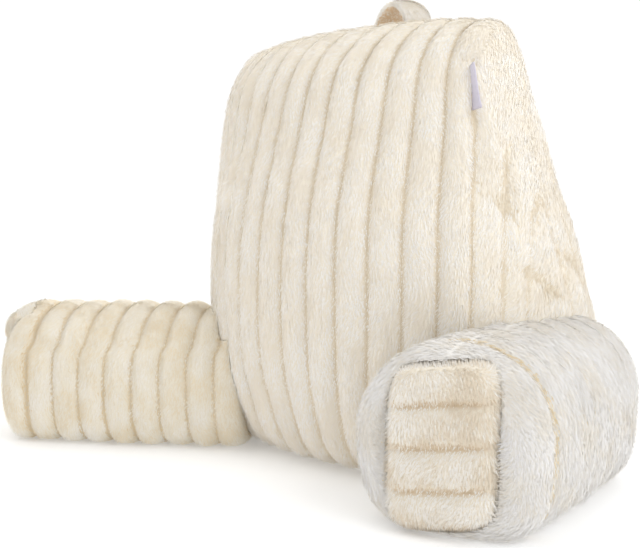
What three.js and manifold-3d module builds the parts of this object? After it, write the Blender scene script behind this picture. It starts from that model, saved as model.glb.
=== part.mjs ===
// Backrest pillow with two arms, in ribbed plush. Millimetres, Z up.
// The front of the back faces -Y, X runs across it, and everything rests on Z = 0.
import * as THREE from 'three';
import { mergeVertices } from 'three/addons/utils/BufferGeometryUtils.js';
import Module from 'manifold-3d';

const wasm = await Module();
wasm.setup();

// Clearance between neighbouring pieces, and how high the ribs stand above the sewn channels.
const clearance = 0.3;
const ribHeight = 9;
const capRibHeight = 9;
const ribRoundness = 0.6;

// The back. Ribs are rings round X: up the front, over the top and down the rear.
const ribCount = 12;
const widestHalf = 202;
const middleX = -14;
const widestZ = 190;
const topNarrowing = 21;
const baseNarrowing = 26;
const backHeight = 506;
const crownPower = 2.5;
const frontTurn = THREE.MathUtils.degToRad(50);
const backSpokes = 48;
const stepsPerRib = 4;

// The side panels of the back, with ribs that follow their edge and fade out towards the top.
const sidePanelBulge = 24;
const sideBulgePower = 2.2;
const sideRibPitch = 36;
const sideRibShare = 0.8;
const sideRibsFrom = 330;
const sideRibsTo = 420;
const sidePanelReach = 110;
const sidePanelRings = 9;
const sidePanelCentre = new THREE.Vector3(0, -25, 210);

// Outline of the back seen from the side: at the side seams, and at mid-width.
const backProfile = [
  { seamY: 10, seamZ: -6, midY: 10, midZ: -6 },
  { seamY: -72, seamZ: -4, midY: -94, midZ: -4 },
  { seamY: -112, seamZ: 22, midY: -152, midZ: 17 },
  { seamY: -123, seamZ: 92, midY: -188, midZ: 92 },
  { seamY: -123, seamZ: 180, midY: -199, midZ: 185 },
  { seamY: -119, seamZ: 270, midY: -194, midZ: 280 },
  { seamY: -110, seamZ: 362, midY: -172, midZ: 376 },
  { seamY: -98, seamZ: 450, midY: -142, midZ: 457 },
  { seamY: -68, seamZ: 490, midY: -92, midZ: 499 },
  { seamY: -34, seamZ: 490, midY: -24, midZ: 500 },
  { seamY: -6, seamZ: 444, midY: 16, midZ: 453 },
  { seamY: 38, seamZ: 345, midY: 60, midZ: 350 },
  { seamY: 90, seamZ: 255, midY: 109, midZ: 258 },
  { seamY: 144, seamZ: 165, midY: 160, midZ: 165 },
  { seamY: 172, seamZ: 84, midY: 186, midZ: 82 },
  { seamY: 168, seamZ: 18, midY: 180, midZ: 16 },
  { seamY: 110, seamZ: -4, midY: 116, midZ: -4 },
];
const seamStartRow = 2;
const seamTopRow = 8;

// The arms: filled rolls with ring channels. Yaw turns an arm's front outwards from -Y.
const armWidth = 176;
const armTopPower = 2.15;
const armBasePower = 3.2;
const armSunk = 6;
const armRingPitch = 34.5;
const armEndRound = 34;
const armEndShrink = 0.2;
const armEndDome = 14;
const slantFade = 150;
const armSpokes = 30;
const armPanelRings = 3;
const arms = [
  {
    side: 'right', frontX: 233, frontY: -226, yaw: 7.5, length: 286, height: 184,
    capTurn: 12, capSlant: -7, capShift: -1,
  },
  {
    side: 'left', frontX: -404, frontY: -288, yaw: -54, length: 310, height: 174,
    capTurn: 0, capSlant: 0, capShift: 0,
  },
];

// The ribbed panel that closes the front end of each arm.
const capWidth = 110;
const capHeight = 162;
const capThickness = 24;
const capRibs = 4;
const capCornerPower = 4.5;
const capRimPower = 8;
const capChannelFade = 7;
const capCrown = 8;
const capInset = 10;
const capColumns = 12;
const recessReach = 60;
const capZ = 86;

// The carrying strap on top.
const handleSpan = 75;
const handleWidth = 40;
const handleThickness = 12;
const handleRise = 38.5;
const handleRoundness = 0.7;
const handleX = 8;
const handleY = -14;
const handleZ = 500;
const handleSunk = 36;
const handleTurn = THREE.MathUtils.degToRad(-14);

// The blank tag in the near side seam.
const tagLength = 46;
const tagReach = 15;
const tagLayer = 1;
const tagSunk = 5;
const tagGap = 0.8;
const tagZ = 424;
const tagTurn = THREE.MathUtils.degToRad(-43);
const tagLean = THREE.MathUtils.degToRad(-8);

const fur = { color: 0xf3ead3, roughness: 0.95, metalness: 0 };
const strap = { color: 0xeee0c2, roughness: 0.95, metalness: 0 };
const tagCloth = { color: 0xf4f2f3, roughness: 0.7, metalness: 0 };

// One of the two side outlines of the back, as a closed curve.
function loop(column) {
  const points = backProfile.map((row) => new THREE.Vector3(0, row[`${column}Y`], row[`${column}Z`]));
  return new THREE.CatmullRomCurve3(points, true, 'centripetal');
}
const seamLoop = loop('seam');
const midLoop = loop('mid');

// Height of a rib above its channels, as a share. Channels lie at whole numbers of "across".
function ridge(across) {
  return Math.pow(Math.abs(Math.sin(Math.PI * across)), ribRoundness);
}

// Half the width of the back at a height: it draws in towards the top and the base.
function halfWidthAt(z) {
  if (z > widestZ) {
    const up = (z - widestZ) / (backHeight - widestZ);
    return widestHalf - topNarrowing * up * up;
  }
  const down = (widestZ - z) / widestZ;
  return widestHalf - baseNarrowing * down * down;
}

// A closed drum of unit radius along Y, whose rings and spokes are moved into a piece's form.
function drum(spokes, wallRings, panelRings) {
  const profile = [];
  for (let i = 0; i < panelRings; i += 1) profile.push(new THREE.Vector2(i / panelRings, -1));
  for (let i = 0; i <= wallRings; i += 1) profile.push(new THREE.Vector2(1, -1 + (2 * i) / wallRings));
  for (let i = panelRings - 1; i >= 0; i -= 1) profile.push(new THREE.Vector2(i / panelRings, 1));
  return weld(new THREE.LatheGeometry(profile, spokes));
}

// Whether a point of the drum is on its wall, not on an end panel.
function onWall(reach) {
  return reach > 0.999;
}

// Keeps the positions alone, with points that coincide joined.
function weld(geometry) {
  const bare = geometry.index ? geometry.toNonIndexed() : geometry;
  for (const name of Object.keys(bare.attributes)) {
    if (name !== 'position') bare.deleteAttribute(name);
  }
  return mergeVertices(bare, 1e-4);
}

// Moves each point by "form", then raises it along the surface's normal by "height".
function shape(geometry, form, height) {
  const at = geometry.attributes.position;
  const start = at.clone();
  for (let i = 0; i < at.count; i += 1) {
    const moved = form(start.getX(i), start.getY(i), start.getZ(i));
    at.setXYZ(i, moved.x, moved.y, moved.z);
  }
  geometry.computeVertexNormals();
  const normal = geometry.attributes.normal;
  for (let i = 0; i < at.count; i += 1) {
    const raise = height(start.getX(i), start.getY(i), start.getZ(i));
    at.setXYZ(
      i,
      at.getX(i) + normal.getX(i) * raise,
      at.getY(i) + normal.getY(i) * raise,
      at.getZ(i) + normal.getZ(i) * raise,
    );
  }
  geometry.deleteAttribute('normal');
  return geometry;
}

// Flattens what would hang below a level, so that the piece rests on it.
function settle(geometry, level) {
  const at = geometry.attributes.position;
  for (let i = 0; i < at.count; i += 1) at.setZ(i, Math.max(level, at.getZ(i)));
  return geometry;
}

// How far round the drum a point is, from 0 to 1, in the order of the outline's rows.
function aroundFraction(x, z) {
  const turn = Math.atan2(-x, z) / (2 * Math.PI);
  return turn < 0 ? turn + 1 : turn;
}

// The back, made larger by "grow". The drum's length runs across the back.
function backrest(grow) {
  const form = (x, u, z) => {
    const reach = Math.hypot(x, z);
    const around = aroundFraction(x, z);
    const rim = seamLoop.getPoint(around);
    if (onWall(reach)) {
      const across = Math.sin(frontTurn * u) / Math.sin(frontTurn);
      const crown = 1 - Math.pow(Math.abs(across), crownPower);
      const point = rim.clone().lerp(midLoop.getPoint(around), crown);
      point.x = middleX + across * halfWidthAt(point.z);
      return point;
    }
    const point = sidePanelCentre.clone().lerp(rim, reach);
    const bulge = sidePanelBulge * (1 - Math.pow(reach, sideBulgePower));
    point.x = middleX + Math.sign(u) * (halfWidthAt(point.z) + bulge);
    return point;
  };
  const height = (x, u, z) => {
    const reach = Math.hypot(x, z);
    if (onWall(reach)) return grow + ribHeight * ridge((u + 1) * 0.5 * ribCount);
    const toRim = (1 - reach) * sidePanelReach;
    const level = THREE.MathUtils.lerp(sidePanelCentre.z, seamLoop.getPoint(aroundFraction(x, z)).z, reach);
    const inner = toRim > sideRibPitch / 2;
    const shallow = inner ? THREE.MathUtils.smoothstep(level, sideRibsFrom, sideRibsTo) : 0;
    const rib = THREE.MathUtils.lerp(ridge(toRim / sideRibPitch), 1, shallow);
    return grow + ribHeight * sideRibShare * rib;
  };
  return settle(shape(drum(backSpokes, ribCount * stepsPerRib, sidePanelRings), form, height), -grow);
}

// One arm, with its ring channels. The drum's length runs from the front end to the back.
// The first ring stays full up to the end panel.
function arm({ frontX, frontY, yaw, length, height, capTurn }) {
  const slant = Math.tan(THREE.MathUtils.degToRad(capTurn));
  const rings = Math.round(length / armRingPitch);
  const form = (x, v, z) => {
    const reach = Math.hypot(x, z);
    const angle = Math.atan2(z, x);
    const along = (v + 1) * 0.5 * length;
    const fromEnd = Math.min(along, length - along);
    const inEnd = Math.max(0, 1 - fromEnd / armEndRound);
    const shrink = 1 - armEndShrink * (1 - Math.sqrt(1 - inEnd * inEnd));
    const c = Math.cos(angle);
    const s = Math.sin(angle);
    const power = 2 / (s > 0 ? armTopPower : armBasePower);
    const dome = onWall(reach) ? 0 : (1 - reach * reach) * armEndDome * Math.sign(v);
    const across = (armWidth / 2) * reach * shrink * Math.sign(c) * Math.pow(Math.abs(c), power);
    const up = (height / 2) * reach * shrink * Math.sign(s) * Math.pow(Math.abs(s), power);
    const slanted = across * slant * Math.max(0, 1 - along / slantFade);
    return new THREE.Vector3(across, along + dome + slanted, height / 2 - armSunk + up);
  };
  const ribs = (x, v, z) => {
    const ring = (v + 1) * 0.5 * rings;
    if (!onWall(Math.hypot(x, z))) return 0;
    return ribHeight * (ring < 0.5 ? 1 : ridge(ring));
  };
  const roll = shape(drum(armSpokes, rings * stepsPerRib, armPanelRings), form, ribs);
  roll.rotateZ(THREE.MathUtils.degToRad(yaw));
  roll.translate(frontX, frontY, 0);
  return settle(roll, 0);
}

// One end panel, made larger by "grow". With "openFront" it is the recess that takes the panel.
function cap({ frontX, frontY, yaw, capTurn, capSlant, capShift }, grow, openFront) {
  const slant = Math.tan(THREE.MathUtils.degToRad(capSlant));
  const panel = weld(new THREE.BoxGeometry(2, 2, 2, capColumns, 1, capRibs * stepsPerRib));
  const form = (x, y, z) => {
    const square = Math.max(Math.abs(x), Math.abs(z));
    const size = Math.pow(Math.abs(x), capCornerPower) + Math.pow(Math.abs(z), capCornerPower);
    const round = size > 0 ? square / Math.pow(size, 1 / capCornerPower) : 1;
    const pull = 1 + (round - 1) * Math.pow(square, 4);
    const channel = (1 - ridge((z + 1) * 0.5 * capRibs)) * (1 - Math.pow(Math.abs(x), capChannelFade));
    const rimX = 1 - Math.pow(Math.abs(x), capRimPower);
    const rimZ = 1 - Math.pow(Math.abs(z), capRimPower);
    const puff = openFront ? recessReach : (capCrown * rimZ + capRibHeight * (rimZ - channel)) * rimX;
    const across = (capWidth / 2 + grow) * x * pull;
    return new THREE.Vector3(
      across,
      (capThickness / 2 + grow) * y - (y < 0 ? puff : 0),
      (capHeight / 2 + grow) * z * pull - across * slant,
    );
  };
  const piece = shape(panel, form, () => 0);
  piece.translate(capShift, capInset, 0);
  piece.rotateZ(THREE.MathUtils.degToRad(yaw + capTurn));
  piece.translate(frontX, frontY, capZ);
  return piece;
}

// The strap: a flat band bent over a half ellipse, whose feet run down into the top.
function handle() {
  const band = weld(new THREE.BoxGeometry(2, 1, 1, 16, 2, 1));
  const form = (x, y, z) => {
    const turn = (x * Math.PI) / 2;
    const reach = handleSpan / 2 + z * handleThickness;
    const rise = handleRise + handleSunk + z * handleThickness;
    const up = Math.pow(Math.cos(turn), handleRoundness);
    return new THREE.Vector3(reach * Math.sin(turn), y * handleWidth, rise * up);
  };
  const strap = shape(band, form, () => 0);
  strap.rotateZ(handleTurn);
  strap.translate(handleX, handleY, handleZ - handleSunk);
  return strap;
}

// The tag: one folded strip, its fold standing out of the side seam.
function tag() {
  const outer = tagLayer + tagGap / 2;
  const inner = tagGap / 2;
  const outline = new THREE.Shape();
  outline.moveTo(0, -outer);
  outline.lineTo(tagReach - outer, -outer);
  outline.absarc(tagReach - outer, 0, outer, -Math.PI / 2, Math.PI / 2, false);
  outline.lineTo(0, outer);
  outline.lineTo(0, inner);
  outline.lineTo(tagReach - outer, inner);
  outline.absarc(tagReach - outer, 0, inner, Math.PI / 2, -Math.PI / 2, true);
  outline.lineTo(0, -inner);
  outline.closePath();
  const strip = new THREE.ExtrudeGeometry(outline, { depth: tagLength, bevelEnabled: false, curveSegments: 6 });
  strip.translate(0, 0, -tagLength / 2);
  strip.rotateY(tagLean);
  strip.rotateZ(tagTurn);
  const root = seamPointAt(tagZ);
  strip.translate(root.x - tagSunk, root.y, root.z);
  return strip;
}

// The point of the right front seam at a height, found by halving the stretch that holds it.
function seamPointAt(z) {
  let low = seamStartRow / backProfile.length;
  let high = seamTopRow / backProfile.length;
  for (let i = 0; i < 30; i += 1) {
    const middle = (low + high) / 2;
    if (seamLoop.getPoint(middle).z < z) low = middle;
    else high = middle;
  }
  const point = seamLoop.getPoint(low);
  point.x = middleX + halfWidthAt(point.z);
  return point;
}

// A closed geometry as a solid, for cutting.
function solid(geometry) {
  const clean = weld(geometry);
  return new wasm.Manifold(new wasm.Mesh({
    numProp: 3,
    vertProperties: new Float32Array(clean.attributes.position.array),
    triVerts: new Uint32Array(clean.index.array),
  }));
}

// A cut solid as a geometry again.
function toGeometry(manifold) {
  const mesh = manifold.getMesh();
  const geometry = new THREE.BufferGeometry();
  geometry.setAttribute('position', new THREE.BufferAttribute(new Float32Array(mesh.vertProperties), 3));
  geometry.setIndex(Array.from(mesh.triVerts));
  return geometry;
}

// Puts one piece into the group, with its own material.
function add(group, name, geometry, finish) {
  geometry.computeVertexNormals();
  const mesh = new THREE.Mesh(geometry, new THREE.MeshStandardMaterial(finish));
  mesh.name = name;
  group.add(mesh);
}

const pillow = new THREE.Group();
add(pillow, 'backrest', backrest(0), fur);
const grownBack = solid(backrest(clearance));
for (const row of arms) {
  const body = solid(arm(row)).subtract(grownBack).subtract(solid(cap(row, clearance, true)));
  add(pillow, `arm_${row.side}`, toGeometry(body), fur);
  add(pillow, `cap_${row.side}`, cap(row, 0, false), fur);
}
add(pillow, 'handle', toGeometry(solid(handle()).subtract(grownBack)), strap);
add(pillow, 'side_label', toGeometry(solid(tag()).subtract(grownBack)), tagCloth);

export default pillow;
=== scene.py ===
"""Dresses the backrest pillow in ribbed plush: swelled skins with sewn channels, and a pile of short hairs.

The scene is in metres, Z up, and the forms are worked out in millimetres. The front of the back faces -Y,
and +X is the side of the near arm.
"""

import math

import bpy
import numpy as np
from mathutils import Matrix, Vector
from mathutils.bvhtree import BVHTree
from mathutils.kdtree import KDTree


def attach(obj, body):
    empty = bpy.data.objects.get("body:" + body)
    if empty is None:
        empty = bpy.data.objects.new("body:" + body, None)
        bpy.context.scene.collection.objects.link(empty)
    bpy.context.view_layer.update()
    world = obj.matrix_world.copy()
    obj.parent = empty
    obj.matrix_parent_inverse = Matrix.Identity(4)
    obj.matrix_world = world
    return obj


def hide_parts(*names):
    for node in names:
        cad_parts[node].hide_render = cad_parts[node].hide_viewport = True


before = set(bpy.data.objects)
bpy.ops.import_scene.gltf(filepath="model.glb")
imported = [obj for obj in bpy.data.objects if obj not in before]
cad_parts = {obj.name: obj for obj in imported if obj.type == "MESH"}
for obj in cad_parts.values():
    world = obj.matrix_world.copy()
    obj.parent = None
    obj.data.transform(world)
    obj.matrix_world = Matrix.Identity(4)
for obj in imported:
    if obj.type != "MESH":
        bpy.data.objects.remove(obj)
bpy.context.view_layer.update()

MM = 0.001

# The camera stands at the photograph's angle: metres, degrees and millimetres.
CAMERA_PLACE = (0.7313, -0.9064, 0.325)
CAMERA_PITCH = -5.47
CAMERA_AZIMUTH = 44.0
CAMERA_LENS = 52.31
CAMERA_SENSOR = 36

# The room is bright behind the object and dims towards the side that DIM_SIDE points to.
DIM_SIDE = (0.36, -0.82, -0.45)
DIM_FROM = -0.3
DIM_TO = 0.8
ROOM_BRIGHT = 1.08
ROOM_DIM = 0.54
KEY_LAMP = dict(place=(1.9, -0.2, 1.7), target=(0, 0, 0.2), size=1.2, power=11.0, colour=(0.92, 0.96, 1.0))
TOP_LAMP = dict(
    place=(-0.4, -0.6, 2.1), target=(-0.1, -0.2, 0.1), size=1.5, power=4.0, colour=(1.0, 0.99, 0.97),
)
FLOOR_REACH = 30
FLOOR_TONE = 0.9
FLOOR_GLOW = 0.2

# The back, as in the part's source.
RIB_HEIGHT = 9.0
RIB_ROUNDNESS = 0.6
RIB_COUNT = 12
WIDEST_HALF = 202.0
MIDDLE_X = -14.0
WIDEST_Z = 190.0
TOP_NARROWING = 21.0
BASE_NARROWING = 26.0
BACK_HEIGHT = 506.0
CROWN_POWER = 2.5
FRONT_TURN = math.radians(50)
SIDE_BULGE = 24.0
SIDE_BULGE_POWER = 2.2
SIDE_RIB_PITCH = 36.0
SIDE_RIB_SHARE = 0.8
SIDE_REACH = 110.0
SIDE_RIBS_FROM = 330.0
SIDE_RIBS_TO = 420.0
SIDE_CENTRE = (0.0, -25.0, 210.0)

# Rows of the back's outline seen from the side: seam Y, seam Z, middle Y, middle Z. The right front seam
# runs from SEAM_START_ROW to SEAM_TOP_ROW.
BACK_PROFILE = [
    (10, -6, 10, -6),
    (-72, -4, -94, -4),
    (-112, 22, -152, 17),
    (-123, 92, -188, 92),
    (-123, 180, -199, 185),
    (-119, 270, -194, 280),
    (-110, 362, -172, 376),
    (-98, 450, -142, 457),
    (-68, 490, -92, 499),
    (-34, 490, -24, 500),
    (-6, 444, 16, 453),
    (38, 345, 60, 350),
    (90, 255, 109, 258),
    (144, 165, 160, 165),
    (172, 84, 186, 82),
    (168, 18, 180, 16),
    (110, -4, 116, -4),
]
SEAM_START_ROW = 2
SEAM_TOP_ROW = 8
SEAM_SAMPLES = 600

# The arms. The near one's channels are drawn in less, by the share "channel". A lengthwise crease shifts
# the far one's rings by "kink" millimetres, at a share of the arm's half height.
ARM_WIDTH = 176.0
ARM_TOP_POWER = 2.15
ARM_BASE_POWER = 3.2
ARM_SUNK = 6.0
ARM_RING_PITCH = 34.5
ARM_END_ROUND = 34.0
ARM_END_SHRINK = 0.2
ARM_END_DOME = 14.0
SLANT_FADE = 150.0
KINK_LEVEL = 0.5
KINK_WIDTH = 0.06
KINK_PULL = 0.4
ARMS = {
    "right": dict(
        front=(233, -226), yaw=7.5, length=286, height=184, channel=0.6, kink=0,
        cap_turn=12, cap_slant=-7, cap_shift=-1,
    ),
    "left": dict(
        front=(-404, -288), yaw=-54, length=310, height=174, channel=1.0, kink=5,
        cap_turn=0, cap_slant=0, cap_shift=0,
    ),
}

# The arms' domed ends: how deep they count as a channel, and how far their hairs stand up.
END_GROOVE = 0.25
END_STAND = 0.5

# The end panels, and the recess that each lies in.
CAP_WIDTH = 110.0
CAP_HEIGHT = 162.0
CAP_THICKNESS = 24.0
CAP_RIBS = 4
CAP_RIB_HEIGHT = 9.0
CAP_CORNER_POWER = 4.5
CAP_RIM_POWER = 8
CAP_CHANNEL_FADE = 7
CAP_CROWN = 8.0
CAP_INSET = 10.0
CAP_GROW = -0.3
CAP_Z = 86.0
# The panel's front edge counts this far as a channel, so that some of the channels' painted shade falls on
# it.
CAP_EDGE_GROOVE = 0.6
CAP_RIM_GROOVE = 0.4
RECESS_REACH = 60.0
RECESS_GROW = 0.0

# The strap. It thins towards its two edges by the share STRAP_THINNING.
STRAP_SPAN = 75.0
STRAP_WIDTH = 40.0
STRAP_THICKNESS = 12.0
STRAP_THINNING = 0.55
STRAP_INSET = 3.0
STRAP_RISE = 38.5
STRAP_ROUNDNESS = 0.7
STRAP_PLACE = (8.0, -14.0, 500.0)
STRAP_SUNK = 36.0
STRAP_TURN = -14.0
STRAP_OUTER_GROOVE = 0.1
STRAP_EDGE_GROOVE = 0.3
# The strap's inner side counts this deep as a channel: its hairs are shorter, and it takes the deep
# orange-tan tone as painted shade.
STRAP_INNER_CHANNEL_SHADE = 0.88

# Soft creases of the near side panel: ends (y, z), depth and half width.
SIDE_CREASES = [
    ((-100, 313), (-60, 274), 3.0, 5.0),
    ((-78, 243), (10, 199), 3.5, 6.0),
    ((-104, 317), (135, 180), 2.5, 7.0),
]
CREASE_TAPER = 0.1
# Creases count this far as a channel: their hairs are shorter and take the channels' painted shade.
CREASE_GROOVE = 0.75

# Creases across the last rib before the label's seam: height, depth and half width.
SEAM_CREASES = [(401, 6.0, 5.0), (452, 6.0, 5.0)]
SEAM_CREASE_SWAY = 3.0

# The label's seam fades between two heights, by a share.
SEAM_FADE_FROM = 405.0
SEAM_FADE_TO = 450.0
SEAM_FADE_SHARE = 0.75

# The tag.
TAG_LENGTH = 46.0
TAG_REACH = 15.0
TAG_LAYER = 0.5
TAG_GAP = 0.8
TAG_SUNK = 5.0
TAG_Z = 424.0
TAG_TURN = math.radians(-43)
TAG_LEAN = math.radians(-8)
TAG_TWIST = math.radians(28)
TAG_WAVE = 0.5
TAG_WAVE_LENGTH = 9
TAG_RUN_STEPS = 7
TAG_BEND_STEPS = 9
TAG_LEVELS = 17

# How finely the forms are divided. Steps are points to a rib or ring.
BACK_SPOKES, BACK_STEPS, BACK_PANEL_RINGS = 128, 6, 15
ARM_SPOKES, ARM_STEPS, ARM_PANEL_RINGS = 72, 7, 8
CAP_COLUMNS, CAP_LAYERS, CAP_STEPS = 28, 3, 8
STRAP_GRID = (64, 14, 3)

# Unevenness of hand filling: how far ribs bulge more or less, and how far channels waver.
LUMPS = 1.2
WAVER = 1.1

# Smooth noises, each a size in millimetres and a seed.
BACK_LUMPS = (48, 3)
ARM_LUMPS = (48, 4)
WAVER_X = (110, 5)
WAVER_Y = (110, 6)
SEAM_CREASE_NOISE = (40, 8)
SIDE_PATCHES = (70, 9)
ARM_PATCHES = (60, 10)

# How much warmer the pile is: in patches, which differ at random, and as painted shade in creases, at the
# foot of the back, in an arm's first channel and on its domed ends.
SIDE_WARMTH = 0.32
CREASE_SHADE = 0.1
FOOT_SHADE = 0.35
FOOT_SHADE_BASE = 10
FOOT_SHADE_TOP = 110
FIRST_CHANNEL_SHADE = 0.55
FIRST_CHANNEL_WIDTH = 0.22
ARM_WARMTH = 0.15
END_DOME_SHADE = 0.3
# On the end panels: painted shade on the lower part of each rib, a painted light that pales the whole front
# and so leaves the rib tops bright, and painted shade on the panel's sides in the recess.
CAP_RIB_SHADE = 0.8
CAP_RIB_LIGHT = 0.25
CAP_RECESS_SHADE = 0.1

# The skins lie inside the solids, so that the pile fills up to them. Cloth simulation swells them.
SKIN_INSET = 4.0
SWELL_LIMIT = 5.0
CAP_SWELL_LIMIT = 4.0
HELD_FROM = 0.9
FLOOR_BAND = 1.0
CLOTH_PRESSURE = 4.0
CLOTH_QUALITY = 4
CLOTH_FRAMES = 20

# Gaps left between cut skins and the back, and how far a cutter goes below the floor.
ARM_CUT_GAP = 1.0
STRAP_CUT_GAP = 0.6
CUTTER_SINK = 2

# Hairs tried on each piece. Those that would pierce a neighbour or the floor are left out.
HAIRS = dict(front=85_000, near=52_000, far=32_000, rear=52_000, arm=64_000, cap=17_000, strap=12_000)

# The hairs, in millimetres and degrees. Those of the strap are shorter, finer and lie flatter.
PILE_LENGTH = 5.6
PILE_WIDTH = 1.15
PILE_LIFT = 10.0
STRAP_PILE_LENGTH = 4.0
STRAP_PILE_WIDTH = 1.0
STRAP_PILE_LIFT = 5.0
LENGTH_SPREAD = (0.75, 1.15)
WIDTH_SPREAD = (0.8, 1.2)
SWIRL_SPREAD = 9
LIFT_SPREAD = 3
LIFT_SWING = 0.35
LIFT_LEAST = 3
LIFT_MOST = 40
STAND_ANGLE = 42
SPIN_SPREAD = 8
SHADE_SPREAD = 0.05

# Roots lie up to ROOT_SPREAD above the skin, most of them low. Hairs in channels are shorter and lower.
ROOT_SPREAD = 2.4
ROOT_POWER = 1.5
ROOT_SUNK = 0.4
GROOVE_LOWERS = 0.8
GROOVE_SHORTENS = 0.45

# Channels deeper than this share are left bare, so that the seam shows as a thin line.
BARE_GROOVE = 0.93

# Undersides that lie on the floor are left bare, and hairs stay above it.
UNDERSIDE_BAND = 3
UNDERSIDE_FACING = -0.6
TIP_ABOVE_FLOOR = 0.4
ROOT_ABOVE_FLOOR = 0.2

# Gaps between hairs and the neighbours' skins.
PIECE_GAP = 0.5
ARM_CAP_GAP = 0.4
CAP_ARM_GAP = 0.3

# Noises of the pile: size, what is added to the pile's seed, and degrees or share.
SWIRL_NOISES = ((60, 11, 16), (20, 12, 12))
TINT_NOISES = ((34, 21, 0.6), (12, 22, 0.4))
LIFT_NOISE = (24, 13)

# Which of four tones a hair takes: pale, middle and deep by its tint, and the last one in channels,
# as painted shade.
TINT_SPREAD = 0.45
TINT_STEP = 0.45
TINT_WARMTH = 1.5
CHANNEL_SHADE_FROM = 0.85
CHANNEL_SHADE_SPREAD = 0.15

# Which way a face of the back looks: share of its normal across the pillow.
FRONT_EDGE = 0.94
SIDE_EDGE = 0.3

# Cloth looks.
FABRIC_SPECULAR = 0.2
SHEEN_ROUGHNESS = 0.5
PATCH_SIZE = 30.0
PATCH_DETAIL = 4
# Over this span of the depth in a channel, the cloth turns to its deeper tone, a painted shade.
CHANNEL_SHADE_RANGE = (0.45, 0.95)
FIBRE_SIZE = 1.4
FIBRE_DETAIL = 3
FIBRE_STRENGTH = 0.5
FIBRE_DEPTH = 0.8
THREAD_SCALE = 420
THREAD_STRENGTH = 0.3
THREAD_DEPTH = 0.2

# Places of a drum's points that lie on its wall, and of a box grid's points that lie on its edges.
ON_WALL = 0.999
ON_EDGE = 0.99

# The least length that a vector is divided by.
SHORT = 1e-9
SHORTEST = 1e-12


# Forms

def closed_curve(rows, shares):
    """Points of a closed centripetal Catmull-Rom curve through rows."""
    rows = np.asarray(rows, float)
    place = (np.asarray(shares) % 1.0) * len(rows)
    k = np.floor(place).astype(int)
    w = (place - k)[:, None]
    p0, p1, p2, p3 = (rows[(k + j) % len(rows)] for j in (-1, 0, 1, 2))
    d0, d1, d2 = (((b - a) ** 2).sum(1)[:, None] ** 0.25 for a, b in ((p0, p1), (p1, p2), (p2, p3)))
    t1 = ((p1 - p0) / d0 - (p2 - p0) / (d0 + d1) + (p2 - p1) / d1) * d1
    t2 = ((p2 - p1) / d1 - (p3 - p1) / (d1 + d2) + (p3 - p2) / d2) * d1
    return p1 + t1 * w + (3 * (p2 - p1) - 2 * t1 - t2) * w**2 + (2 * (p1 - p2) + t1 + t2) * w**3


def ridge(across):
    """Height of a rib as a share; channels lie at whole numbers."""
    return np.abs(np.sin(np.pi * across)) ** RIB_ROUNDNESS


def waves(points, size, seed, count=10, loudness=3.2):
    """Smooth noise of about -1 to 1 with lumps of one size, in the units of the points."""
    rng = np.random.default_rng(seed)
    total = np.zeros(len(points))
    for _ in range(count):
        way = rng.normal(size=3)
        way *= rng.uniform(0.7, 1.4) * np.pi / size / np.linalg.norm(way)
        total += np.sin(points @ way + rng.uniform(0, 2 * np.pi))
    return total / loudness


def uneven(points):
    """Lets the channels waver a little, and flattens what would hang below the floor."""
    shift = np.column_stack([waves(points, *WAVER_X), waves(points, *WAVER_Y), 0 * points[:, 0]])
    points = points + WAVER * shift
    points[:, 2] = np.maximum(points[:, 2], 0)
    return points


def smoothstep(x, low, high):
    t = np.clip((x - low) / (high - low), 0, 1)
    return t * t * (3 - 2 * t)


def bell(x, width):
    return np.exp(-((x / width) ** 2))


def signed_power(x, power):
    return np.sign(x) * np.abs(x) ** power


def unit(vectors, least=SHORT):
    return vectors / np.maximum(np.linalg.norm(vectors, axis=1), least)[:, None]


def trough(points, first, last, width):
    """How close points are to a line from first to last: 1 on it, 0 well away from it."""
    first, last = np.array(first, float), np.array(last, float)
    run = last - first
    t = np.clip((points - first) @ run / (run @ run), 0, 1)
    off = np.linalg.norm(points - first - t[:, None] * run, axis=1)
    return bell(off, width) * np.sin(np.pi * (CREASE_TAPER + (1 - 2 * CREASE_TAPER) * t)) ** 0.5


def half_width(z):
    """Half the width of the back at a height."""
    up = (z - WIDEST_Z) / (BACK_HEIGHT - WIDEST_Z)
    down = (WIDEST_Z - z) / WIDEST_Z
    return WIDEST_HALF - np.where(z > WIDEST_Z, TOP_NARROWING * up**2, BASE_NARROWING * down**2)


def drum(spokes, wall_rings, panel_rings):
    """A closed drum: each point's reach, turn and place along it, then its quads and its triangles."""
    rings = [(i / panel_rings, -1.0) for i in range(1, panel_rings)]
    rings += [(1.0, -1 + 2 * i / wall_rings) for i in range(wall_rings + 1)]
    rings += [(i / panel_rings, 1.0) for i in range(panel_rings - 1, 0, -1)]
    table = np.array([(0.0, 0.0, -1.0)] + [
        (reach, s / spokes, v) for reach, v in rings for s in range(spokes)
    ] + [(0.0, 0.0, 1.0)])
    quads, triangles = [], []
    for r in range(len(rings) - 1):
        low, high = 1 + r * spokes, 1 + (r + 1) * spokes
        for s in range(spokes):
            n = (s + 1) % spokes
            quads.append((low + s, low + n, high + n, high + s))
    last, top = len(table) - 1, 1 + (len(rings) - 1) * spokes
    for s in range(spokes):
        n = (s + 1) % spokes
        triangles.append((0, 1 + n, 1 + s))
        triangles.append((last, top + s, top + n))
    return table, quads, triangles


def corner_triangles(faces):
    """Faces of three or four corners as triangles."""
    made = []
    for f in faces:
        made.append((f[0], f[1], f[2]))
        if len(f) == 4:
            made.append((f[0], f[2], f[3]))
    return np.array(made)


def point_normals(points, triangles):
    a, b, c = (points[triangles[:, j]] for j in range(3))
    n = np.cross(b - a, c - a)
    total = np.zeros_like(points)
    for j in range(3):
        np.add.at(total, triangles[:, j], n)
    return unit(total, SHORTEST)


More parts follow.
